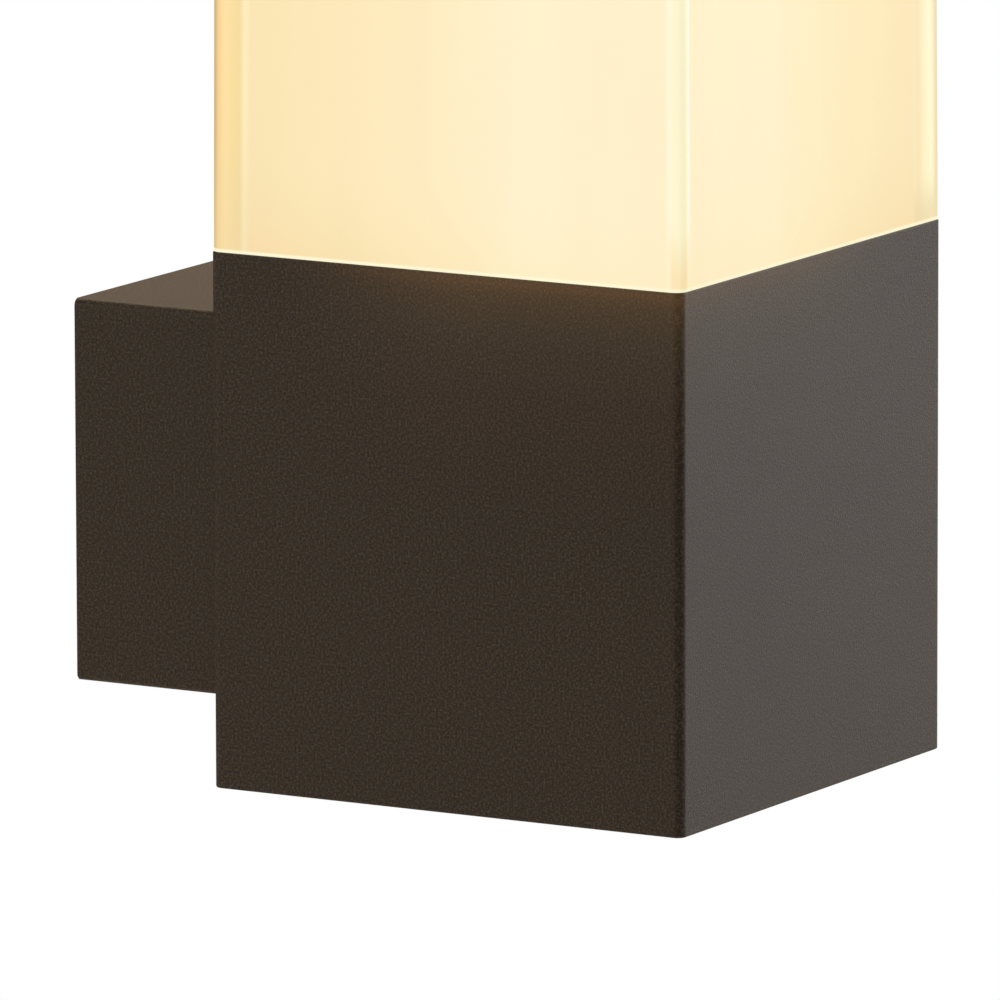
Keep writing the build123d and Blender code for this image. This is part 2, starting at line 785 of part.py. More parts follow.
def lamp_body():
    """The lamp's moulded heat sink, from the cap up to the globe's seam."""
    globe_z = lamp_low + lamp_length - lamp_r
    seam_r = (lamp_r ** 2 - (globe_z - seam_z) ** 2) ** 0.5
    side = Spline((lamp_neck_r, cap_high + 2.5), (0.62 * seam_r + 3.0, seam_z - 22.0), (seam_r, seam_z),
                  tangents=[(0.15, 1.0), (0.33, 1.0)])
    rest = Polyline((seam_r, seam_z), (0, seam_z), (0, cap_high), (lamp_neck_r, cap_high),
                    (lamp_neck_r, cap_high + 2.5))
    face = make_face(Plane.XZ * (side + rest))
    return Pos(0, axis_y, 0) * revolve(face, Axis.Z)


def lamp_globe():
    """The lamp's opal cap, a thin part sphere."""
    globe_z = lamp_low + lamp_length - lamp_r
    shell = Sphere(lamp_r) - Sphere(lamp_r - globe_thickness)
    cut = Pos(0, 0, seam_z - globe_z - lamp_r) * Box(3 * lamp_r, 3 * lamp_r, 2 * lamp_r)
    return Pos(0, axis_y, globe_z) * (shell - cut)


# Shade -------------------------------------------------------------------------------------------

def drawn_bar(side, low, high):
    """An upright square bar that narrows upwards by the mould's draft."""
    outline = RectangleRounded(side, side, shade_corner_r)
    return Pos(0, axis_y, low) * extrude(outline, high - low, taper=shade_draft)


def shade_walls():
    """An opal acrylic square tube, moulded with a little draft."""
    lid_low = shade_top - shade_wall
    return drawn_bar(shade_side, housing_top, lid_low) - drawn_bar(shade_inner, housing_top, lid_low)


def shade_lid():
    """The shade's top plate, cemented on the tube."""
    lid = drawn_bar(shade_side, housing_top, shade_top)
    lid &= block((-shade_side, shade_side), (axis_y - shade_side, axis_y + shade_side),
                 (shade_top - shade_wall, shade_top))
    rim = lid.edges().filter_by(lambda e: abs(e.center().Z - shade_top) < 0.01)
    return fillet(rim, shade_rim_round)


nodes = {
    "wall_plate": wall_plate,
    "wall_gasket": wall_gasket,
    "entry_grommet": entry_grommet,
    "arm_block": arm_block,
    "arm_rim_seal": arm_rim_seal,
    "arm_gasket": arm_gasket,
    "arm_screws": arm_screws,
    "locking_screws": locking_screws,
    "wire_bush": wire_bush,
    "terminal_block": terminal_block,
    "terminal_tubes": terminal_tubes,
    "terminal_screws": terminal_screws,
    "terminal_fixing_screw": terminal_fixing_screw,
    "live_wire": live_wire,
    "neutral_wire": neutral_wire,
    "earth_wire": earth_wire,
    "earth_tag": earth_tag,
    "earth_screw": earth_screw,
    "housing": housing,
    "bottom_cover": bottom_cover,
    "bottom_gasket": bottom_gasket,
    "bottom_screws": bottom_screws,
    "shade_collar": shade_collar,
    "collar_screws": collar_screws,
    "shade_clips": shade_clips,
    "shade_gasket": shade_gasket,
    "reflector": reflector,
    "holder_bracket": holder_bracket,
    "bracket_screws": bracket_screws,
    "lampholder": lampholder,
    "holder_sleeve": holder_sleeve,
    "holder_contact": holder_contact,
    "holder_screws": holder_screws,
    "terminal_posts": terminal_posts,
    "post_screws": post_screws,
    "shade_ring": shade_ring,
    "lamp_foot_contact": lamp_foot_contact,
    "lamp_cap_insulator": lamp_cap_insulator,
    "lamp_cap": lamp_cap,
    "lamp_body": lamp_body,
    "lamp_globe": lamp_globe,
    "shade_walls": shade_walls,
    "shade_lid": shade_lid,
}

os.makedirs("parts", exist_ok=True)
for name, make in nodes.items():
    shape = make()
    if isinstance(shape, list):
        shape = Compound(children=shape)
    export_step(shape, f"parts/{name}.step")
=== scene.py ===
import math

import bmesh
import bpy
from mathutils import Matrix, Vector


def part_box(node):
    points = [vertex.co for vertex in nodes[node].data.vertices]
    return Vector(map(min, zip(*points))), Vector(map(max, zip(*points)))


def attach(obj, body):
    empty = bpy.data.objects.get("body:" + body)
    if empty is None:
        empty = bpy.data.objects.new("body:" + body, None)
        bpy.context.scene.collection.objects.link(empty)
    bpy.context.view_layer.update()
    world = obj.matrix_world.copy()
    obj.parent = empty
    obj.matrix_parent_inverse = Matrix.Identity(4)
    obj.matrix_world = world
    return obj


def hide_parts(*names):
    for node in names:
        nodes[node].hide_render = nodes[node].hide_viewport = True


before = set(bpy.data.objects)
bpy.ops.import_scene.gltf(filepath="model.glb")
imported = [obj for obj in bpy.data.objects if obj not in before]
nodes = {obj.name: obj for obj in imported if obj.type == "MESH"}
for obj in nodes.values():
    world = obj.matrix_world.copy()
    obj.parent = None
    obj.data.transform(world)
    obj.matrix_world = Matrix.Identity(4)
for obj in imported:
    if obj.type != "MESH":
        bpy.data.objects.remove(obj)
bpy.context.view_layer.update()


# ---- Wall plate and lampholder bracket: pressed, zinc-plated steel ------------------------------
# The plate goes on the wall first, and a folded strip of the same 1.5 to 2 mm sheet later hangs the
# lampholder. Both are cold-rolled steel, blanked and folded, then bright zinc plated.

ZINC_LIGHT = "C3C6C6"
ZINC_DARK = "8F9497"
ZINC_STAIN = "A9A79C"
ZINC_GRAIN_MM = 1.6
ZINC_ROLLING_MM = 0.4
ZINC_STAIN_MM = 18.0


def linear(hex_colour):
    """An sRGB hex colour as linear red, green, blue and alpha."""
    channels = [int(hex_colour[i:i + 2], 16) / 255 for i in (0, 2, 4)]
    return [c / 12.92 if c <= 0.04045 else ((c + 0.055) / 1.055) ** 2.4 for c in channels] + [1.0]


def per_metre(size_mm):
    """The scale of a noise or cell pattern whose features are this many millimetres across."""
    return 1000.0 / size_mm


def new_material(name):
    """An empty material and the object coordinates its patterns use."""
    material = bpy.data.materials.new(name)
    material.use_nodes = True
    material.node_tree.nodes.clear()
    return material, add(material, "ShaderNodeTexCoord").outputs["Object"]


def add(material, kind, inputs=None, **settings):
    """Adds a node, with its settings, its values and its links."""
    node = material.node_tree.nodes.new(kind)
    for name, value in settings.items():
        setattr(node, name, value)
    for socket, value in (inputs or {}).items():
        if isinstance(value, bpy.types.NodeSocket):
            material.node_tree.links.new(value, node.inputs[socket])
        else:
            node.inputs[socket].default_value = value
    return node


def noise(material, place, size_mm, detail=2.0):
    """A noise pattern's height, 0 to 1, with features of this size."""
    return add(material, "ShaderNodeTexNoise",
               {"Vector": place, "Scale": per_metre(size_mm), "Detail": detail}).outputs["Fac"]


def cells(material, place, size_mm, output="Distance", feature="F1"):
    """A cell pattern with cells of this size."""
    return add(material, "ShaderNodeTexVoronoi", {"Vector": place, "Scale": per_metre(size_mm)},
               feature=feature).outputs[output]


def stretched(material, place, x, y, z):
    """The same place with each axis scaled, for grain that runs one way."""
    return add(material, "ShaderNodeMapping", {"Vector": place, "Scale": (x, y, z)}).outputs["Vector"]


def tints(material, amount, *stops):
    """Colours by (position, sRGB hex) stops along an amount from 0 to 1."""
    ramp = add(material, "ShaderNodeValToRGB", {"Fac": amount})
    elements = ramp.color_ramp.elements
    elements[0].position, elements[0].color = stops[0][0], linear(stops[0][1])
    elements[1].position, elements[1].color = stops[-1][0], linear(stops[-1][1])
    for position, colour in stops[1:-1]:
        elements.new(position).color = linear(colour)
    return ramp.outputs["Color"]


def between(material, amount, low, high, low_in=0.3, high_in=0.7):
    """An amount from low_in to high_in turned into a value from low to high."""
    return add(material, "ShaderNodeMapRange", {"Value": amount, "From Min": low_in, "From Max": high_in,
                                                "To Min": low, "To Max": high}).outputs[0]


def blended(material, amount, first, second, mode="MIX"):
    """Two colours mixed by an amount from 0 to 1."""
    mix = add(material, "ShaderNodeMix", {"Factor": amount}, data_type="RGBA", blend_type=mode)
    for socket, value in ((6, first), (7, second)):
        if isinstance(value, bpy.types.NodeSocket):
            material.node_tree.links.new(value, mix.inputs[socket])
        else:
            mix.inputs[socket].default_value = linear(value)
    return mix.outputs[2]


def math_node(material, operation, first, second=0.0, third=0.0):
    """One sum on numbers or sockets."""
    return add(material, "ShaderNodeMath", {0: first, 1: second, 2: third}, operation=operation).outputs[0]


def bumps(material, height, depth_mm, strength=0.5):
    """A normal roughened by a height of this depth."""
    return add(material, "ShaderNodeBump",
               {"Height": height, "Distance": depth_mm / 1000, "Strength": strength}).outputs["Normal"]


def surface(material, inputs):
    """Closes a material with one Principled shader."""
    shader = add(material, "ShaderNodeBsdfPrincipled", inputs)
    add(material, "ShaderNodeOutputMaterial", {"Surface": shader.outputs["BSDF"]})


def coat(material, *node_names):
    """Gives CAD nodes a material in every slot."""
    for name in node_names:
        mesh = nodes[name].data
        mesh.materials.clear()
        mesh.materials.append(material)


# Small bright crystals, a rolling grain along X and a faint yellow passivation stain: clean plated steel.
zinc, place = new_material("bright_zinc_plated_steel")
crystals = cells(zinc, place, ZINC_GRAIN_MM, output="Color")
rolling = noise(zinc, stretched(zinc, place, 0.05, 1.0, 1.0), ZINC_ROLLING_MM)
zinc_colour = tints(zinc, crystals, (0.2, ZINC_DARK), (0.8, ZINC_LIGHT))
stained = between(zinc, noise(zinc, place, ZINC_STAIN_MM), 0.0, 0.5)
zinc_colour = blended(zinc, stained, zinc_colour, ZINC_STAIN)
surface(zinc, {"Base Color": zinc_colour, "Metallic": 1.0, "Roughness": between(zinc, rolling, 0.28, 0.42),
               "Normal": bumps(zinc, rolling, 0.01)})
coat(zinc, "wall_plate", "holder_bracket")


# ---- Foam under the plate and in the arm's rim ------------------------------------------------------
# A 2 mm sheet between plate and wall, and a 3 mm ring stuck in the arm's open end, both die-cut from
# closed-cell EPDM foam, so that rain running down the wall stays out.

FOAM_BLACK = "2A2A2B"
FOAM_GREY = "414143"
FOAM_CELL_MM = 0.6

# Closed cells 0.6 mm wide show as shallow pits on the cut faces and make the black look dusty.
foam, place = new_material("closed_cell_epdm_foam")
pits = cells(foam, place, FOAM_CELL_MM)
surface(foam, {"Base Color": tints(foam, pits, (0.1, FOAM_BLACK), (0.7, FOAM_GREY)), "Roughness": 0.92,
               "Normal": bumps(foam, pits, 0.2, 0.7)})
coat(foam, "wall_gasket", "arm_rim_seal")


# ---- Cable grommet and wire bush: moulded rubber ---------------------------------------------------
# A grommet snaps into the plate's hole around the supply cable, and a bush lines the hole between arm and
# housing. Both are turned shapes with rounded lips, moulded in black EPDM and pushed in by hand.

RUBBER_BLACK = "1B1B1C"
RUBBER_BLOOM = "2F2F30"
RUBBER_BLOOM_MM = 3.0
RUBBER_GRAIN_MM = 0.25
TURN_STEPS = 96
WELD = 1e-6
SHARP_ANGLE = math.radians(35)

# Bloom, the grey dust of moulded rubber, breaks up the black. The fine grain keeps the gloss soft.
rubber, place = new_material("moulded_black_rubber")
bloom = noise(rubber, place, RUBBER_BLOOM_MM, 4.0)
surface(rubber, {"Base Color": tints(rubber, bloom, (0.35, RUBBER_BLACK), (0.75, RUBBER_BLOOM)),
                 "Roughness": between(rubber, bloom, 0.55, 0.75),
                 "Normal": bumps(rubber, noise(rubber, place, RUBBER_GRAIN_MM), 0.02)})


def finished(name, mesh, material, body, node):
    """A whole piece from its mesh: closed, facing outwards, smooth-shaded, riding on its body."""
    bmesh.ops.remove_doubles(mesh, verts=mesh.verts, dist=WELD)
    bmesh.ops.recalc_face_normals(mesh, faces=mesh.faces)
    data = bpy.data.meshes.new(name)
    mesh.to_mesh(data)
    mesh.free()
    data.materials.append(material)
    data.shade_smooth()
    data.set_sharp_from_angle(angle=SHARP_ANGLE)
    piece = bpy.data.objects.new(name, data)
    bpy.context.scene.collection.objects.link(piece)
    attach(piece, body)
    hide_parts(node)
    return piece


def line_of(mesh, points, closed):
    """A chain of edges through points."""
    verts = [mesh.verts.new(point) for point in points]
    for first, second in zip(verts, verts[1:]):
        mesh.edges.new((first, second))
    if closed:
        mesh.edges.new((verts[-1], verts[0]))


def rounded(outline, radius, steps=4):
    """An outline with each corner between straight runs cut into a small arc."""
    corners = [Vector(p) for p in outline]
    points = []
    for before, corner, after in zip([corners[-1]] + corners, corners, corners[1:] + [corners[0]]):
        reach = min(radius, (before - corner).length / 2.01, (after - corner).length / 2.01)
        start = corner + (before - corner).normalized() * reach
        end = corner + (after - corner).normalized() * reach
        for step in range(steps + 1):
            t = step / steps
            points.append((1 - t) ** 2 * start + 2 * t * (1 - t) * corner + t ** 2 * end)
    return points


def turned_about_y(outline, centre_x, centre_z):
    """A turned mesh about an axis along Y, from a closed (radius, y) outline."""
    mesh = bmesh.new()
    line_of(mesh, [(centre_x + p.x, p.y, centre_z) for p in outline], True)
    bmesh.ops.spin(mesh, geom=mesh.verts[:] + mesh.edges[:], cent=(centre_x, 0, centre_z), axis=(0, 1, 0),
                   angle=math.tau, steps=TURN_STEPS, use_merge=True)
    return mesh


GROMMET_LIP = 0.0006
GROMMET_STEP = 0.0009
GROMMET_NOSE = 0.0022
PLATE_SHEET = 0.002
grommet_low, grommet_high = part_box("entry_grommet")
plate_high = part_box("wall_plate")[1]
plate_front = plate_high.y - PLATE_SHEET
grommet_r = grommet_high.x
throat_r = 0.008
cable_r = 0.0045
grommet_outline = rounded([(cable_r, grommet_high.y), (grommet_r, grommet_high.y), (grommet_r, plate_high.y),
                           (throat_r, plate_high.y), (throat_r, plate_front), (grommet_r, plate_front),
                           (grommet_r, plate_front - GROMMET_STEP),
                           (cable_r + GROMMET_NOSE, grommet_low.y),
                           (cable_r, grommet_low.y)], GROMMET_LIP)
finished("cable_grommet", turned_about_y(grommet_outline, 0, 0), rubber, "wall_plate", "entry_grommet")

BUSH_LIP = 0.0007
BUSH_FLANGE = 0.0015
bush_low, bush_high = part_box("wire_bush")
housing_low, housing_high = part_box("housing")
bush_z = (bush_low.z + bush_high.z) / 2
bush_flange_r = (bush_high.x - bush_low.x) / 2
bush_neck_r = 0.008
bush_bore_r = 0.006
bush_outline = rounded([(bush_bore_r, bush_high.y), (bush_flange_r, bush_high.y),
                        (bush_flange_r, bush_high.y - BUSH_FLANGE), (bush_neck_r, bush_high.y - BUSH_FLANGE),
                        (bush_neck_r, bush_low.y + BUSH_FLANGE), (bush_flange_r, bush_low.y + BUSH_FLANGE),
                        (bush_flange_r, bush_low.y), (bush_bore_r, bush_low.y)], BUSH_LIP)
finished("wire_bush_rubber", turned_about_y(bush_outline, 0, bush_z), rubber, "lantern", "wire_bush")


# ---- Housing, arm and bottom cover: powder coat ----------------------------------------------------
# The square extrusion, the cast arm and the cover plate are aluminium, sprayed with a dark anthracite-brown
# polyester powder and baked. Fine-texture powder bakes to a dry, sandy skin of grains 0.3 to 0.6 mm wide.

COAT_BROWN = "443729"
COAT_GRAIN_LIGHT = "76624A"
COAT_GRAIN_DARK = "1E170F"
COAT_GRAIN_MM = 0.5
COAT_FLECK_MM = 0.3
COAT_DRIFT_MM = 60.0
COAT_GRAIN_DEPTH_MM = 0.08
SPILL_BY_DEPTH = ((0.0, "C89A58"), (0.02, "E6A55C"), (0.07, "B4864A"), (0.154, "8F7248"), (0.28, "6C5736"),
                  (0.48, "4C311E"), (1.0, "000000"))
SPILL_STRENGTH = 0.08
SPILL_REACH = 0.05
FRONT_SPILL = 0.6
SPILL_TURN = 0.003
SPILL_NONE = 0.9
SPILL_FULL = 0.4
POLYESTER_IOR = 1.5

# The speckle of light and dark grains gives the sandy look, the bumps soften every reflection into a sheen,
# and a slow drift of a few per cent keeps the wide faces from looking printed.
powder_coat, place = new_material("powder_coated_aluminium")
grain = add(powder_coat, "ShaderNodeTexNoise", {"Vector": place, "Scale": per_metre(COAT_GRAIN_MM),
                                                "Detail": 3.0, "Roughness": 0.6}).outputs["Fac"]
fleck = cells(powder_coat, place, COAT_FLECK_MM)
coat_colour = tints(powder_coat, grain, (0.3, COAT_GRAIN_DARK), (0.5, COAT_BROWN), (0.72, COAT_GRAIN_LIGHT))
drift = between(powder_coat, noise(powder_coat, place, COAT_DRIFT_MM), 0.94, 1.06)
coat_colour = add(powder_coat, "ShaderNodeVectorMath", {0: coat_colour, "Scale": drift},
                  operation="SCALE").outputs["Vector"]

# Light that leaks under the shade's foot lies as an amber haze on the housing's top. It is deepest in colour
# at the joint, fades out over 50 mm, and is strongest towards the left front corner.
spill_at = add(powder_coat, "ShaderNodeSeparateXYZ", {"Vector": place})
housing_width = housing_high.x - housing_low.x
spill_depth = math_node(powder_coat, "SUBTRACT", housing_high.z, spill_at.outputs["Z"])
spill_colour = tints(powder_coat, math_node(powder_coat, "DIVIDE", spill_depth, SPILL_REACH), *SPILL_BY_DEPTH)
spill_round = math_node(powder_coat, "ADD", spill_at.outputs["X"], spill_at.outputs["Y"])
spill_round = math_node(powder_coat, "SUBTRACT", spill_round, housing_low.x + housing_low.y)
spill_near = add(powder_coat, "ShaderNodeMapRange",
                 {"Value": spill_round, "From Min": housing_width * SPILL_NONE,
                  "From Max": housing_width * SPILL_FULL}, interpolation_type="SMOOTHSTEP").outputs[0]
spill_side = add(powder_coat, "ShaderNodeMapRange",
                 {"Value": spill_at.outputs["X"], "From Min": housing_low.x + SPILL_TURN,
                  "From Max": housing_low.x, "To Min": FRONT_SPILL}).outputs[0]
spill = add(powder_coat, "ShaderNodeVectorMath",
            {0: spill_colour, "Scale": math_node(powder_coat, "MULTIPLY", spill_near, spill_side)},
            operation="SCALE").outputs["Vector"]
surface(powder_coat, {"Base Color": coat_colour, "IOR": POLYESTER_IOR,
                      "Emission Color": spill,
                      "Emission Strength": SPILL_STRENGTH,
                      "Roughness": between(powder_coat, grain, 0.5, 0.62),
                      "Normal": bumps(powder_coat, math_node(powder_coat, "ADD", grain, fleck),
                                      COAT_GRAIN_DEPTH_MM)})
coat(powder_coat, "arm_block", "housing", "bottom_cover")


# ---- Seals: silicone rubber ---------------------------------------------------------------------------
# Flat rings cut or moulded in milky silicone: in the arm's groove, over the bottom cover, and on the
# collar's flange, where the shade's edge nearly meets it.

SILICONE_MILK = "C9C9C4"
SILICONE_SHADE = "B4B4AD"
SILICONE_CLOUD_MM = 6.0
SILICONE_DUST_MM = 0.3

# Soft clouds in the milky grey and a little dust in the gloss: rubber that has been handled.
silicone, place = new_material("milky_silicone_rubber")
cloud = noise(silicone, place, SILICONE_CLOUD_MM, 3.0)
dust = noise(silicone, place, SILICONE_DUST_MM)
surface(silicone, {"Base Color": tints(silicone, cloud, (0.35, SILICONE_SHADE), (0.7, SILICONE_MILK)),
                   "Roughness": between(silicone, dust, 0.42, 0.6), "Subsurface Weight": 0.1,
                   "Subsurface Scale": 0.002, "Normal": bumps(silicone, dust, 0.01)})
coat(silicone, "arm_gasket", "bottom_gasket", "shade_gasket")


# ---- Screws: stainless steel --------------------------------------------------------------------------
# Pan heads with hexagon sockets hold arm, cover, collar, bracket and lampholder, grub screws lock the arm on
# its plate and clamp the wires. All are cold-headed and thread-rolled from A2 wire, then tumbled.

STEEL_LIGHT = "B9B8B4"
STEEL_DARK = "8E8D89"
STEEL_TUMBLE_MM = 0.5
STEEL_SCRATCH_MM = 0.12

# Tumbling leaves soft mottling and short fine scratches, so heads shine without mirroring.
stainless, place = new_material("tumbled_stainless_steel")
mottle = noise(stainless, place, STEEL_TUMBLE_MM, 3.0)
scratch = noise(stainless, stretched(stainless, place, 1.0, 0.15, 1.0), STEEL_SCRATCH_MM)
surface(stainless, {"Base Color": tints(stainless, mottle, (0.3, STEEL_DARK), (0.7, STEEL_LIGHT)),
                    "Metallic": 1.0, "Roughness": between(stainless, scratch, 0.24, 0.4),
                    "Normal": bumps(stainless, scratch, 0.006)})
coat(stainless, "arm_screws", "locking_screws", "terminal_screws", "terminal_fixing_screw", "bottom_screws",
     "collar_screws", "bracket_screws", "holder_screws", "post_screws")


# ---- Terminal block and contacts -------------------------------------------------------------------
# A three-pole polyamide block with brass tubes sits on the arm's front wall, beside an earth screw and its
# crimped tag. Brass posts and a brass leaf serve the lampholder. Current-carrying parts that must solder or
# crimp are tinned.

NYLON_WHITE = "DEDBD0"
NYLON_SHADE = "CFCBBD"
NYLON_FLOW_MM = 5.0
NYLON_SPARK_MM = 0.3

# Flow marks and the spark-eroded mould's fine texture: unfilled moulded nylon, faintly yellow.
nylon, place = new_material("moulded_natural_polyamide")
flow = noise(nylon, stretched(nylon, place, 1.0, 1.0, 0.4), NYLON_FLOW_MM)
spark = noise(nylon, place, NYLON_SPARK_MM)
surface(nylon, {"Base Color": tints(nylon, flow, (0.35, NYLON_SHADE), (0.7, NYLON_WHITE)),
                "Roughness": between(nylon, spark, 0.42, 0.55), "Normal": bumps(nylon, spark, 0.02)})
coat(nylon, "terminal_block")

BRASS_LIGHT = "D8B56A"
BRASS_DARK = "A8823F"
BRASS_TARNISH = "8A6A3A"
BRASS_TURNING_MM = 0.15
BRASS_TARNISH_MM = 4.0

# Fine turning lines and patchy first tarnish on bright free-cutting brass.
brass, place = new_material("turned_brass")
turning = noise(brass, stretched(brass, place, 0.2, 0.2, 1.0), BRASS_TURNING_MM)
brass_colour = tints(brass, turning, (0.3, BRASS_DARK), (0.7, BRASS_LIGHT))
brass_colour = blended(brass, between(brass, noise(brass, place, BRASS_TARNISH_MM), 0.0, 0.5), brass_colour,
                       BRASS_TARNISH)
surface(brass, {"Base Color": brass_colour, "Metallic": 1.0, "Roughness": between(brass, turning, 0.2, 0.36),
                "Normal": bumps(brass, turning, 0.006)})
coat(brass, "terminal_tubes", "earth_screw", "holder_contact", "terminal_posts")

TIN_LIGHT = "C9C7C1"
TIN_DARK = "A19F99"
TIN_FLOW_MM = 0.9

# Hot-dipped tin flows and sets unevenly: dull silver with soft, wandering highlights.
tin, place = new_material("tinned_copper")
tin_flow = noise(tin, place, TIN_FLOW_MM, 3.0)
surface(tin, {"Base Color": tints(tin, tin_flow, (0.3, TIN_DARK), (0.7, TIN_LIGHT)), "Metallic": 1.0,
              "Roughness": between(tin, tin_flow, 0.3, 0.46), "Normal": bumps(tin, tin_flow, 0.03)})
coat(tin, "earth_tag", "lamp_foot_contact")


# ---- Wires: silicone-insulated copper ------------------------------------------------------------------
# Live and neutral run from the block through the bush and up to the lampholder, earth to its tag. The
# insulation is extruded, with a light talc bloom, and the earth wire has a yellow stripe along the green.

WIRE_TALC_MM = 1.2
WIRE_RIPPLE_MM = 0.5
WIRE_COLOURS = {"live_wire": ("brown", "5A3320", "6B4431"), "neutral_wire": ("blue", "27548F", "4A74A8"),
                "earth_wire": ("green", "2E7D3A", "4A9153")}
EARTH_YELLOW = "D9C531"
STRIPE_SIDE = (0.58, 0.58, 0.58)
STRIPE_EDGE = 0.35

# Talc turns patches of each colour paler, and the extruder's faint ripple wanders in the highlight.
for wire, (word, plain, talced) in WIRE_COLOURS.items():
    insulation, place = new_material(f"{word}_silicone_insulation")
    talc = noise(insulation, place, WIRE_TALC_MM, 3.0)
    wire_colour = tints(insulation, talc, (0.4, plain), (0.75, talced))
    if wire == "earth_wire":
        facing = add(insulation, "ShaderNodeVectorMath",
                     {0: add(insulation, "ShaderNodeTexCoord").outputs["Normal"], 1: STRIPE_SIDE},
                     operation="DOT_PRODUCT").outputs["Value"]
        stripe = math_node(insulation, "GREATER_THAN", facing, STRIPE_EDGE)
        wire_colour = blended(insulation, stripe, wire_colour, EARTH_YELLOW)
    ripple = noise(insulation, place, WIRE_RIPPLE_MM)
    surface(insulation, {"Base Color": wire_colour, "Roughness": between(insulation, talc, 0.4, 0.6),
                         "Normal": bumps(insulation, ripple, 0.02)})
    coat(insulation, wire)


# ---- Collar and reflector: white enamelled aluminium --------------------------------------------------
# The collar is a drawn frame screwed on the housing's ports, which the shade slides over. The reflector is a
# folded sheet around the lampholder that throws light back up into the shade.

ENAMEL_WHITE = "F1F0EA"
ENAMEL_SHADE = "E4E3DB"
ENAMEL_PEEL_MM = 1.8
ENAMEL_DRIFT_MM = 25.0
ENAMEL_IOR = 1.5

# Orange peel 1.8 mm wide in the baked enamel softens the lamp's reflection.
enamel, place = new_material("white_baked_enamel")
peel = noise(enamel, place, ENAMEL_PEEL_MM)
enamel_drift = noise(enamel, place, ENAMEL_DRIFT_MM)
surface(enamel, {"Base Color": tints(enamel, enamel_drift, (0.3, ENAMEL_SHADE), (0.7, ENAMEL_WHITE)),
                 "Roughness": between(enamel, peel, 0.3, 0.42), "IOR": ENAMEL_IOR,
                 "Normal": bumps(enamel, peel, 0.02)})
coat(enamel, "shade_collar", "reflector")


# ---- Clips: spring steel strip -------------------------------------------------------------------------
# Four bent strips inside the collar press through its windows on the shade. They are slit from
# spring-temper stainless strip and spot-welded at the foot.

SPRING_LIGHT = "A5A39D"
SPRING_STRAW = "9A8763"
SPRING_BRUSH_MM = 0.15
SPRING_HEAT_MM = 7.0

# Brushing along the strip, and straw-coloured heat tint from the temper and the welds.
spring, place = new_material("tempered_spring_strip")
brushing = noise(spring, stretched(spring, place, 1.0, 1.0, 0.08), SPRING_BRUSH_MM)
heat = between(spring, noise(spring, place, SPRING_HEAT_MM), 0.0, 0.6)
surface(spring, {"Base Color": blended(spring, heat, SPRING_LIGHT, SPRING_STRAW), "Metallic": 1.0,
                 "Roughness": between(spring, brushing, 0.25, 0.4), "Normal": bumps(spring, brushing, 0.005)})
coat(spring, "shade_clips")


# ---- Lampholder and shade ring: moulded thermoplastic ------------------------------------------------
# The E27 holder and the ring nut that clamps the reflector on its shoulder are injection-moulded in white
# glass-filled PBT. A threaded shell of tinned copper sheet is pressed into the holder's bore.

PBT_WHITE = "E9E8E1"
PBT_SHADE = "D9D8CF"
PBT_FIBRE_MM = 0.5
PBT_FLOW_MM = 9.0

# Glass fibres near the skin give a faint dry speckle over slow flow marks.
pbt, place = new_material("moulded_white_pbt")
fibre = noise(pbt, stretched(pbt, place, 1.0, 1.0, 0.25), PBT_FIBRE_MM)
pbt_colour = tints(pbt, noise(pbt, place, PBT_FLOW_MM), (0.3, PBT_SHADE), (0.7, PBT_WHITE))
surface(pbt, {"Base Color": pbt_colour, "Roughness": between(pbt, fibre, 0.3, 0.45),
              "Normal": bumps(pbt, fibre, 0.012)})
coat(pbt, "lampholder", "shade_ring")

THREAD_PITCH = 0.003629
THREAD_STEPS = 48
WAVE_POINTS = 12
SHELL_TURNS = 6
SHELL_INNER_R = 0.0139
SHELL_OUTER_R = 0.0146
SHELL_THICKNESS = 0.0002

shade_low, shade_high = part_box("shade_walls")
axis_x = (housing_low.x + housing_high.x) / 2
axis_y = (housing_low.y + housing_high.y) / 2
axis = Vector((axis_x, axis_y, 0))


def thread_tube(low, high, root_r, crest_r):
    """A round-threaded tube, its ends cut flat: one pitch of the wave, spun with a climb, then trimmed."""
    mesh = bmesh.new()
    wave = []
    for step in range(WAVE_POINTS + 1):
        share = step / WAVE_POINTS
        swell = 0.5 - 0.5 * math.cos(math.tau * share)
        wave.append(axis + Vector((root_r + (crest_r - root_r) * swell, 0, low + (share - 1) * THREAD_PITCH)))
    line_of(mesh, wave, False)
    turns = math.ceil((high - low) / THREAD_PITCH) + 2
    steps = turns * THREAD_STEPS
    climb = THREAD_PITCH / THREAD_STEPS
    bmesh.ops.spin(mesh, geom=mesh.verts[:] + mesh.edges[:], cent=axis, axis=(0, 0, 1), dvec=(0, 0, climb),
                   angle=math.tau * turns, steps=steps, use_merge=False)
    bmesh.ops.remove_doubles(mesh, verts=mesh.verts, dist=WELD * 10)
    for level, direction in ((low, -1), (high, 1)):
        bmesh.ops.bisect_plane(mesh, geom=mesh.verts[:] + mesh.edges[:] + mesh.faces[:],
                               plane_co=(0, 0, level), plane_no=(0, 0, direction), clear_outer=True)
    return mesh


def open_rims(mesh):
    """The edges at a mesh's open ends, as [lower rim, upper rim]."""
    rim = [edge for edge in mesh.edges if edge.is_boundary]
    heights = [vert.co.z for edge in rim for vert in edge.verts]
    middle = (min(heights) + max(heights)) / 2
    return [[e for e in rim if e.verts[0].co.z < middle], [e for e in rim if e.verts[0].co.z > middle]]


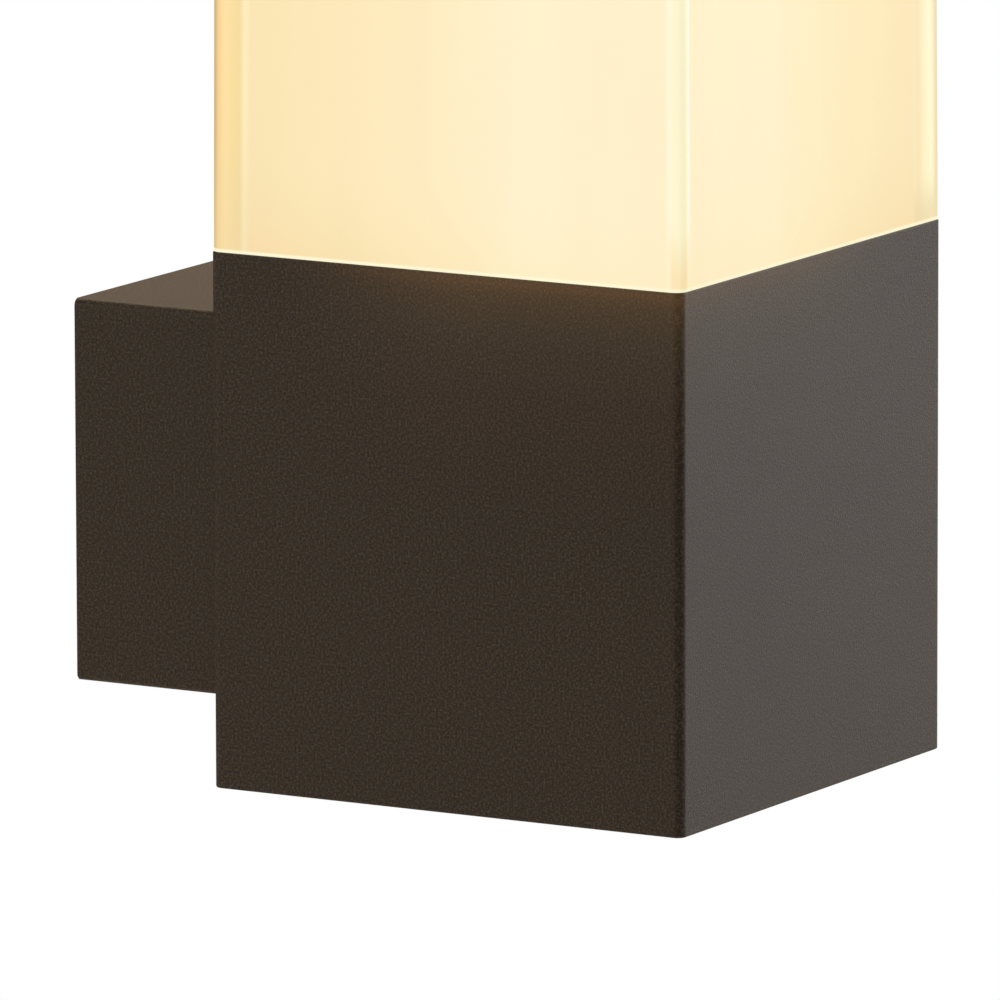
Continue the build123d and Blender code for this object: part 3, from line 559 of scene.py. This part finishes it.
def drawn_out(mesh, rim, radius, rise):
    """Extends an open rim to a circle of this radius, this far up, and returns the new rim."""
    made = bmesh.ops.extrude_edge_only(mesh, edges=rim)["geom"]
    for vert in (v for v in made if isinstance(v, bmesh.types.BMVert)):
        spoke = vert.co - axis
        spoke.z = 0
        vert.co = axis + spoke.normalized() * radius + Vector((0, 0, vert.co.z + rise))
    return [e for e in made if isinstance(e, bmesh.types.BMEdge)]


# The shell's sheet is 0.2 mm thick, rolled to the round E27 thread, with a plain hem at top and bottom.
sleeve_low, sleeve_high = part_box("holder_sleeve")
sleeve_hem = ((sleeve_high.z - sleeve_low.z) - SHELL_TURNS * THREAD_PITCH) / 2
shell = thread_tube(sleeve_low.z + sleeve_hem, sleeve_high.z - sleeve_hem, SHELL_OUTER_R, SHELL_INNER_R)
lower_rim, upper_rim = open_rims(shell)
drawn_out(shell, lower_rim, SHELL_OUTER_R, -sleeve_hem + SHELL_THICKNESS)
drawn_out(shell, upper_rim, SHELL_OUTER_R, sleeve_hem - SHELL_THICKNESS)
bmesh.ops.recalc_face_normals(shell, faces=shell.faces)
bmesh.ops.solidify(shell, geom=shell.faces[:], thickness=SHELL_THICKNESS)
finished("lampholder_threaded_shell", shell, tin, "lantern", "holder_sleeve")


# ---- Lamp: an E27 LED globe --------------------------------------------------------------------------
# A nickel-plated brass cap with its rolled thread, a black glass foot insulator, a white plastic-clad heat
# sink and an opal polycarbonate globe, glued together at the factory. It screws into the holder.

NICKEL_LIGHT = "CFCAC0"
NICKEL_DARK = "A7A298"
NICKEL_RUB_MM = 0.8
NICKEL_ROLL_MM = 0.12

# Rolling lines around the thread and rubbed patches from being screwed in: warm, half-bright nickel.
nickel, place = new_material("nickel_plated_thread")
rub = noise(nickel, place, NICKEL_RUB_MM, 3.0)
roll = noise(nickel, stretched(nickel, place, 0.15, 0.15, 1.0), NICKEL_ROLL_MM)
surface(nickel, {"Base Color": tints(nickel, rub, (0.3, NICKEL_DARK), (0.7, NICKEL_LIGHT)), "Metallic": 1.0,
                 "Roughness": between(nickel, roll, 0.18, 0.34), "Normal": bumps(nickel, roll, 0.004)})

CAP_ROOT_R = 0.0124
CAP_CREST_R = 0.0132
CAP_MARGIN = 0.0012
CAP_FOOT_R = 0.0116
cap_low, cap_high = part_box("lamp_cap")
cap = thread_tube(cap_low.z + CAP_MARGIN, cap_high.z - CAP_MARGIN, CAP_ROOT_R, CAP_CREST_R)
lower_rim, upper_rim = open_rims(cap)
lower_rim = drawn_out(cap, lower_rim, CAP_ROOT_R, -CAP_MARGIN / 2)
lower_rim = drawn_out(cap, lower_rim, CAP_FOOT_R, -CAP_MARGIN / 2)
bmesh.ops.edgeloop_fill(cap, edges=lower_rim)
upper_rim = drawn_out(cap, upper_rim, CAP_ROOT_R, CAP_MARGIN / 2)
upper_rim = drawn_out(cap, upper_rim, CAP_ROOT_R, CAP_MARGIN / 2)
bmesh.ops.edgeloop_fill(cap, edges=upper_rim)
finished("lamp_cap_thread", cap, nickel, "lamp", "lamp_cap")

GLASS_BLACK = "131315"
GLASS_SHEEN = "242428"
GLASS_FLOW_MM = 2.5
GLASS_IOR = 1.52

# Pressed glass, nearly black, with cool flow streaks in its gloss.
glass, place = new_material("pressed_black_glass")
glass_flow = noise(glass, place, GLASS_FLOW_MM, 3.0)
surface(glass, {"Base Color": tints(glass, glass_flow, (0.4, GLASS_BLACK), (0.7, GLASS_SHEEN)),
                "IOR": GLASS_IOR, "Roughness": between(glass, glass_flow, 0.08, 0.2),
                "Normal": bumps(glass, glass_flow, 0.02)})
coat(glass, "lamp_cap_insulator")

SINK_WHITE = "ECEBE6"
SINK_SHADE = "DDDCD6"
SINK_SPARK_MM = 0.4
SINK_FLOW_MM = 12.0

# Spark-eroded texture on white plastic, with slow flow shading: matt, dry and clean.
sink, place = new_material("moulded_heat_sink_plastic")
sink_spark = noise(sink, place, SINK_SPARK_MM)
sink_colour = tints(sink, noise(sink, place, SINK_FLOW_MM), (0.3, SINK_SHADE), (0.7, SINK_WHITE))
surface(sink, {"Base Color": sink_colour, "Roughness": between(sink, sink_spark, 0.45, 0.6),
               "Normal": bumps(sink, sink_spark, 0.03)})


def turned_about_lamp(outline):
    """A turned mesh on the lamp's axis, from a (radius, height) outline that starts and ends on the axis."""
    mesh = bmesh.new()
    line_of(mesh, [axis + Vector((radius, 0, height)) for radius, height in outline], False)
    bmesh.ops.spin(mesh, geom=mesh.verts[:] + mesh.edges[:], cent=axis, axis=(0, 0, 1), angle=math.tau,
                   steps=TURN_STEPS, use_merge=True)
    return mesh


# The sink swells from the cap's neck to the globe in an S-curve. A fine groove marks the glued seam.
SINK_NECK_R = 0.014
SINK_NECK_RISE = 0.0025
SINK_STEPS = 28
SEAM_GROOVE = 0.0004
SWELL_POWER = 1.25
SWELL_BULGE = 0.18
body_low, body_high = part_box("lamp_body")
seam_r = (body_high.x - body_low.x) / 2
sink_profile = [(0, body_low.z), (SINK_NECK_R - SEAM_GROOVE, body_low.z),
                (SINK_NECK_R, body_low.z + SEAM_GROOVE)]
swell_low = body_low.z + SINK_NECK_RISE
swell_height = body_high.z - swell_low
for step in range(SINK_STEPS + 1):
    t = step / SINK_STEPS
    swell = min(t ** SWELL_POWER * (1 + SWELL_BULGE - SWELL_BULGE * t ** 2), 1.0)
    sink_profile.append((SINK_NECK_R + (seam_r - SINK_NECK_R) * swell, swell_low + swell_height * t))
sink_profile[-1] = (seam_r - SEAM_GROOVE, body_high.z)
sink_profile.append((0, body_high.z))
finished("lamp_heat_sink", turned_about_lamp(sink_profile), sink, "lamp", "lamp_body")

GLOBE_GLOW = "FFF3D6"
GLOBE_GLOW_LOW = "FFE3B0"
GLOBE_OPAL = "E9E4D6"
GLOBE_THICKNESS = 0.0012
GLOBE_STEPS = 40
GLOBE_STRENGTH = 0.82
GLOBE_PALE_FROM = 0.6
globe_low, globe_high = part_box("lamp_globe")
globe_r = (globe_high.x - globe_low.x) / 2
globe_z = globe_high.z - globe_r
first_angle = math.asin((globe_low.z - globe_z) / globe_r)
globe_profile = []
for radius, way in ((globe_r, 1), (globe_r - GLOBE_THICKNESS, -1)):
    arc = []
    for step in range(GLOBE_STEPS + 1):
        angle = first_angle + (math.pi / 2 - first_angle) * step / GLOBE_STEPS
        arc.append((radius * math.cos(angle), globe_z + radius * math.sin(angle)))
    arc[-1] = (0, globe_z + radius)
    globe_profile += arc[::way]

# Lit evenly from the board below, so palest on top and warmer towards the seam.
globe_opal, place = new_material("opal_polycarbonate_globe_lit")
globe_height = add(globe_opal, "ShaderNodeSeparateXYZ", {"Vector": place}).outputs["Z"]
globe_fade = between(globe_opal, globe_height, 0.0, 1.0, globe_low.z, globe_z + globe_r * GLOBE_PALE_FROM)
globe_glow = tints(globe_opal, globe_fade, (0.0, GLOBE_GLOW_LOW), (1.0, GLOBE_GLOW))
satin = noise(globe_opal, place, SINK_SPARK_MM)
surface(globe_opal, {"Base Color": linear(GLOBE_OPAL), "Roughness": between(globe_opal, satin, 0.35, 0.5),
                     "Emission Color": globe_glow, "Emission Strength": GLOBE_STRENGTH,
                     "Normal": bumps(globe_opal, satin, 0.01)})
globe_mesh = turned_about_lamp(globe_profile)
finished("lamp_opal_globe", globe_mesh, globe_opal, "lamp", "lamp_globe")


# ---- Shade: opal acrylic, lit from inside -------------------------------------------------------
# A moulded square tube of 5 mm satin opal acrylic with a cemented lid, set over the collar. The lamp inside
# makes it glow warm white: evenly in the middle of each wall, more orange towards the foot and the far
# corners, where the light crosses more plastic. Its falling off away from the corner at -X, -Y is painted
# shade on the side turned from the lights and the view. The far corners' outer edges are painted darker, and
# painted highlights run along the near corner's rounding.

DRAFT_SLOPE = math.tan(math.radians(0.4))
WALL_MM = 5.0
# Glow by reach: the fall towards the foot is the lamp's, the fall sideways from the corner at -X, -Y is
# painted shade.
GLOW_BY_REACH = ((0.0, "FEEFCA"), (0.12, "FEECC2"), (0.29, "FDE9BA"), (0.5, "F9E3B1"), (0.8, "F8DDA8"),
                 (1.0, "F5D79C"))
# The first stops of both strips are painted shade on the far corners' rounding, the rest is the glow.
GLOW_SIDE_STRIP = ((0.10, "D2AE7C"), (0.16, "F0CE8F"), (0.24, "FDDC97"), (0.32, "FFE0A4"), (0.44, "F9DD9A"),
                   (0.59, "F6DA9C"), (0.68, "FEECBD"), (0.8, "FCE9B9"))
GLOW_FRONT_STRIP = ((0.10, "D8C59C"), (0.22, "F0DEB4"), (0.28, "FEF4C9"), (0.39, "FEFAD4"), (0.49, "FEF5CD"),
                    (0.60, "FFF0C4"), (0.67, "FDEABC"), (0.74, "F8E4B2"), (0.79, "F7E2B2"), (0.88, "FBE7B9"))
GLOW_LID = ((0.0, "F6DFAC"), (0.25, "FAE4B4"), (0.7, "FCE9BC"))
GLOW_STRIP_FOOT = "EBD6A2"
GLOW_CORNER = "FFF8D2"
GLOW_CORNER_FOOT = "FDE5B5"
# Painted highlights along the edges of the near corner's rounding.
CORNER_HIGHLIGHT = "FFF8DA"
FRONT_CORNER_HIGHLIGHT = "FFFEF4"
CORNER_HIGHLIGHT_FOOT = "FFF0C8"
GLOW_RIM = "FDF7D4"
DAYLIGHT_SHARE = "F3F1E8"
OPAL_BODY = "6F6A5C"
OPAL_STREAK_MM = 14.0
OPAL_SATIN_MM = 0.3
SIDE_STRIP_MM = 12.0
FRONT_STRIP_MM = 13.0
SIDE_LINE_MM = 2.8
FRONT_LINE_MM = 3.2
HIGHLIGHT_HALF_WIDTH_MM = 0.9
RIM_MM = 0.9
CORNER_ROUND_MM = 2.5
WEDGE_SLANT = 1.5
FOOT_REACH_MM = 22.0
LOBE_DIMMING = 0.015
GLOW_STRENGTH = 0.95
ACRYLIC_IOR = 1.49
LOBE_EDGE = 0.3
WALL_THIRD = 0.35
REACH_SPAN = 0.55
REACH_MOST = 1.15
FOOT_REACH = 0.22

opal, place = new_material("satin_opal_acrylic_lit")
half_mm = (shade_high.x - shade_low.x) * 1000 / 2
split = add(opal, "ShaderNodeSeparateXYZ", {"Vector": place})


def sums(operation, first, second=0.0, third=0.0):
    """One sum in the shade's pattern."""
    return math_node(opal, operation, first, second, third)


def rising(amount, low, high):
    """0 below low, 1 above high, with a smooth step between."""
    return add(opal, "ShaderNodeMapRange", {"Value": amount, "From Min": low, "From Max": high},
               interpolation_type="SMOOTHSTEP").outputs[0]


def falling(amount, low, high):
    """1 below low, 0 above high, with a smooth step between."""
    return sums("SUBTRACT", 1.0, rising(amount, low, high))


# Places in millimetres: from the lamp's axis, above the foot, and in from the nearer upright corner.
from_x = sums("MULTIPLY", split.outputs["X"], 1000.0)
from_y = sums("MULTIPLY", sums("SUBTRACT", split.outputs["Y"], axis_y), 1000.0)
above = sums("MULTIPLY", sums("SUBTRACT", split.outputs["Z"], shade_low.z), 1000.0)
side_x = sums("ABSOLUTE", from_x)
side_y = sums("ABSOLUTE", from_y)
half_here = sums("SUBTRACT", half_mm, sums("MULTIPLY", above, DRAFT_SLOPE))
in_from_corner = sums("SUBTRACT", half_here, sums("MINIMUM", side_x, side_y))
on_y_face = rising(sums("SUBTRACT", side_y, side_x), -0.2, 0.2)
past_round = rising(sums("SUBTRACT", half_here, side_x), 0.0, CORNER_ROUND_MM)
on_front = sums("MULTIPLY", sums("MULTIPLY", on_y_face, past_round), falling(from_y, -1.0, 1.0))
in_from_wall = sums("SUBTRACT", half_here, sums("MAXIMUM", side_x, side_y))
height_mm = (shade_high.z - shade_low.z) * 1000
on_lid = sums("MAXIMUM", rising(in_from_wall, WALL_MM + 0.2, WALL_MM + 2.0),
              rising(above, height_mm - 1.0, height_mm - 0.3))

# How far round from the corner at -X, -Y: 0 there, 1 at both its neighbours, 2 opposite.
round_from_near = sums("ADD", sums("DIVIDE", sums("ADD", from_x, from_y), 2 * half_mm), 1.0)
away = rising(round_from_near, 0.4, 0.5)
nearby = sums("SUBTRACT", 1.0, away)

# The glow fades with reach: down towards the foot, and sideways past the first third of a wall, a painted
# shading of the walls turned away from the lights and the view.
sideways = sums("DIVIDE", sums("SUBTRACT", round_from_near, WALL_THIRD), REACH_SPAN)
sideways = sums("MINIMUM", sums("MAXIMUM", sideways, 0.0), REACH_MOST)
down = sums("MAXIMUM", sums("SUBTRACT", 1.0, sums("DIVIDE", above, FOOT_REACH_MM)), 0.0)
down = sums("MULTIPLY", down, down)
reach = sums("ADD", sideways, sums("MULTIPLY", down, sums("MULTIPLY_ADD", sideways, 0.5, FOOT_REACH)))
glow = tints(opal, sums("MULTIPLY", reach, 0.5), *GLOW_BY_REACH)

# Strips down the far corners, where the light crosses the neighbouring wall edgeways. Their outermost stops,
# on the corner's rounding, are painted shade where the wall turns away from view.
side_strip = tints(opal, sums("DIVIDE", in_from_corner, SIDE_STRIP_MM), *GLOW_SIDE_STRIP)
front_strip = tints(opal, sums("DIVIDE", in_from_corner, FRONT_STRIP_MM), *GLOW_FRONT_STRIP)
strip_low = falling(above, 1.0, 12.0)
front_strip = blended(opal, sums("MULTIPLY", strip_low, 0.8), front_strip, GLOW_STRIP_FOOT)
side_strip = blended(opal, sums("MULTIPLY", falling(above, 0.0, 30.0), 0.35), side_strip, GLOW_STRIP_FOOT)
in_side = sums("MULTIPLY", sums("MULTIPLY", falling(in_from_corner, 8.4, 9.8), away),
               sums("SUBTRACT", 1.0, on_y_face))
in_front = sums("MULTIPLY", sums("MULTIPLY", falling(in_from_corner, 11.2, 13.0), away), on_y_face)
glow = blended(opal, in_side, glow, side_strip)
glow = blended(opal, in_front, glow, front_strip)

# The near corner: pale between two painted highlight lines along the edges of its rounding, with an orange
# wedge rising from the foot.
line_at = sums("SUBTRACT", SIDE_LINE_MM, sums("MULTIPLY", on_y_face, SIDE_LINE_MM - FRONT_LINE_MM))
past_line = sums("SUBTRACT", in_from_corner, line_at)
wedge = falling(sums("MULTIPLY_ADD", past_line, -WEDGE_SLANT, above), 3.0, 17.0)
in_corner = sums("MULTIPLY", nearby, falling(past_line, -0.3, 0.2))
glow = blended(opal, in_corner, glow, blended(opal, wedge, GLOW_CORNER, GLOW_CORNER_FOOT))
on_highlight = sums("MULTIPLY", nearby, falling(sums("ABSOLUTE", past_line), 0.0, HIGHLIGHT_HALF_WIDTH_MM))
highlight_colour = blended(opal, on_y_face, CORNER_HIGHLIGHT, FRONT_CORNER_HIGHLIGHT)
glow = blended(opal, on_highlight, glow, blended(opal, wedge, highlight_colour, CORNER_HIGHLIGHT_FOOT))

# The foot's own edge shines, and the daylight on the front wall takes the place of some of the glow.
glow = blended(opal, falling(above, RIM_MM * 0.5, RIM_MM), glow, GLOW_RIM)
glow = blended(opal, on_front, glow, blended(opal, 1.0, glow, DAYLIGHT_SHARE, "MULTIPLY"))

# The lid carries none of the walls' lines: it is evenly lit, a little dimmer towards its edges.
lid_glow = tints(opal, sums("DIVIDE", in_from_wall, half_mm), *GLOW_LID)
glow = blended(opal, on_lid, glow, lid_glow)

# Slow upright streaks in the opal, the edge of the brightest lobe, and the satin of the mould in the gloss.
streaks = noise(opal, stretched(opal, place, 1.0, 1.0, 0.12), OPAL_STREAK_MM)
lobe = sums("MULTIPLY", rising(reach, LOBE_EDGE, LOBE_EDGE + 0.06), LOBE_DIMMING)
glow = add(opal, "ShaderNodeVectorMath",
           {0: glow, "Scale": sums("SUBTRACT", between(opal, streaks, 0.985, 1.012), lobe)},
           operation="SCALE").outputs["Vector"]
opal_satin = noise(opal, place, OPAL_SATIN_MM)
surface(opal, {"Base Color": linear(OPAL_BODY), "Roughness": between(opal, opal_satin, 0.42, 0.52),
               "IOR": ACRYLIC_IOR, "Emission Color": glow, "Emission Strength": GLOW_STRENGTH,
               "Normal": bumps(opal, opal_satin, 0.01)})
coat(opal, "shade_walls", "shade_lid")


# ---- Studio ------------------------------------------------------------------------------------
# A pale floor well below the light, a white surround, one large soft light off to the front right, a weaker
# one behind on the left and a high one behind on the right, which brightens the top of the arm.

FLOOR_DROP = 0.35
FLOOR_HALF = 6.0

floor_mesh = bmesh.new()
bmesh.ops.create_grid(floor_mesh, x_segments=1, y_segments=1, size=FLOOR_HALF)
bmesh.ops.translate(floor_mesh, verts=floor_mesh.verts, vec=(0, 0, housing_low.z - FLOOR_DROP))
floor_data = bpy.data.meshes.new("floor")
floor_mesh.to_mesh(floor_data)
floor_mesh.free()
floor = bpy.data.objects.new("floor", floor_data)
bpy.context.scene.collection.objects.link(floor)

PAPER_GREY = "EDEDED"
paper = new_material("white_backdrop_paper")[0]
paper_diffuse = add(paper, "ShaderNodeBsdfDiffuse", {"Color": linear(PAPER_GREY)}).outputs["BSDF"]
paper_white = add(paper, "ShaderNodeEmission", {"Color": linear("FFFFFF")}).outputs["Emission"]
paper_seen = add(paper, "ShaderNodeLightPath").outputs["Is Camera Ray"]
paper_mix = add(paper, "ShaderNodeMixShader", {"Fac": paper_seen, 1: paper_diffuse, 2: paper_white})
add(paper, "ShaderNodeOutputMaterial", {"Surface": paper_mix.outputs["Shader"]})
floor_data.materials.append(paper)

SURROUND_STRENGTH = 0.1
world = bpy.data.worlds.new("surround")
world.use_nodes = True
world.node_tree.nodes.clear()
bpy.context.scene.world = world
seen = add(world, "ShaderNodeBackground", {"Color": linear("FFFFFF")}).outputs["Background"]
unseen = add(world, "ShaderNodeBackground",
             {"Color": linear("FFFFFF"), "Strength": SURROUND_STRENGTH}).outputs["Background"]
world_seen = add(world, "ShaderNodeLightPath").outputs["Is Camera Ray"]
world_mix = add(world, "ShaderNodeMixShader", {"Fac": world_seen, 1: unseen, 2: seen})
add(world, "ShaderNodeOutputWorld", {"Surface": world_mix.outputs["Shader"]})


def soft_light(name, azimuth, elevation, distance, size, watts, colour):
    """A square area light that looks at the housing."""
    turn, tilt = math.radians(azimuth), math.radians(elevation)
    towards = Vector((math.sin(turn) * math.cos(tilt), -math.cos(turn) * math.cos(tilt), math.sin(tilt)))
    data = bpy.data.lights.new(name, "AREA")
    data.shape = "SQUARE"
    data.size = size
    data.energy = watts
    data.color = linear(colour)[:3]
    light = bpy.data.objects.new(name, data)
    light.location = axis + towards * distance
    light.rotation_mode = "QUATERNION"
    light.rotation_quaternion = towards.to_track_quat("Z", "Y")
    bpy.context.scene.collection.objects.link(light)


soft_light("front_right_softbox", 62, 14, 1.6, 1.2, 13.9, "FFFFFF")
soft_light("back_left_fill", -130, 15, 1.8, 1.0, 6.6, "FFF4E6")
soft_light("back_right_softbox", 120, 55, 1.5, 0.8, 11.8, "FFEBD0")


# ---- Camera ------------------------------------------------------------------------------------
# A long lens, a little above the housing, looks at the light from its left front, so that both the
# broad left side and the narrower front show, with the arm behind.

CAMERA_AZIMUTH = math.radians(-60.05)
CAMERA_ELEVATION = math.radians(10.114)
CAMERA_ROLL = math.radians(-0.158)
CAMERA_DISTANCE = 3.1243
CAMERA_LENS_MM = 546.0
AIM_RIGHT = -0.01611
AIM_UP = 0.05516
SENSOR_MM = 36.0

housing_foot = Vector((axis_x, axis_y, housing_low.z))
back = Vector((math.sin(CAMERA_AZIMUTH) * math.cos(CAMERA_ELEVATION),
               -math.cos(CAMERA_AZIMUTH) * math.cos(CAMERA_ELEVATION),
               math.sin(CAMERA_ELEVATION)))
level_right = (-back).cross(Vector((0, 0, 1))).normalized()
level_up = level_right.cross(-back)
right = math.cos(CAMERA_ROLL) * level_right + math.sin(CAMERA_ROLL) * level_up
up = math.cos(CAMERA_ROLL) * level_up - math.sin(CAMERA_ROLL) * level_right
aim = housing_foot + level_right * AIM_RIGHT + level_up * AIM_UP

camera_data = bpy.data.cameras.new("camera")
camera_data.lens = CAMERA_LENS_MM
camera_data.sensor_width = SENSOR_MM
camera_data.clip_end = 100.0
camera = bpy.data.objects.new("camera", camera_data)
camera.matrix_world = Matrix((right, up, back)).transposed().to_4x4()
camera.location = aim + back * CAMERA_DISTANCE
bpy.context.scene.collection.objects.link(camera)
bpy.context.scene.camera = camera
bpy.context.scene.view_settings.view_transform = "Standard"
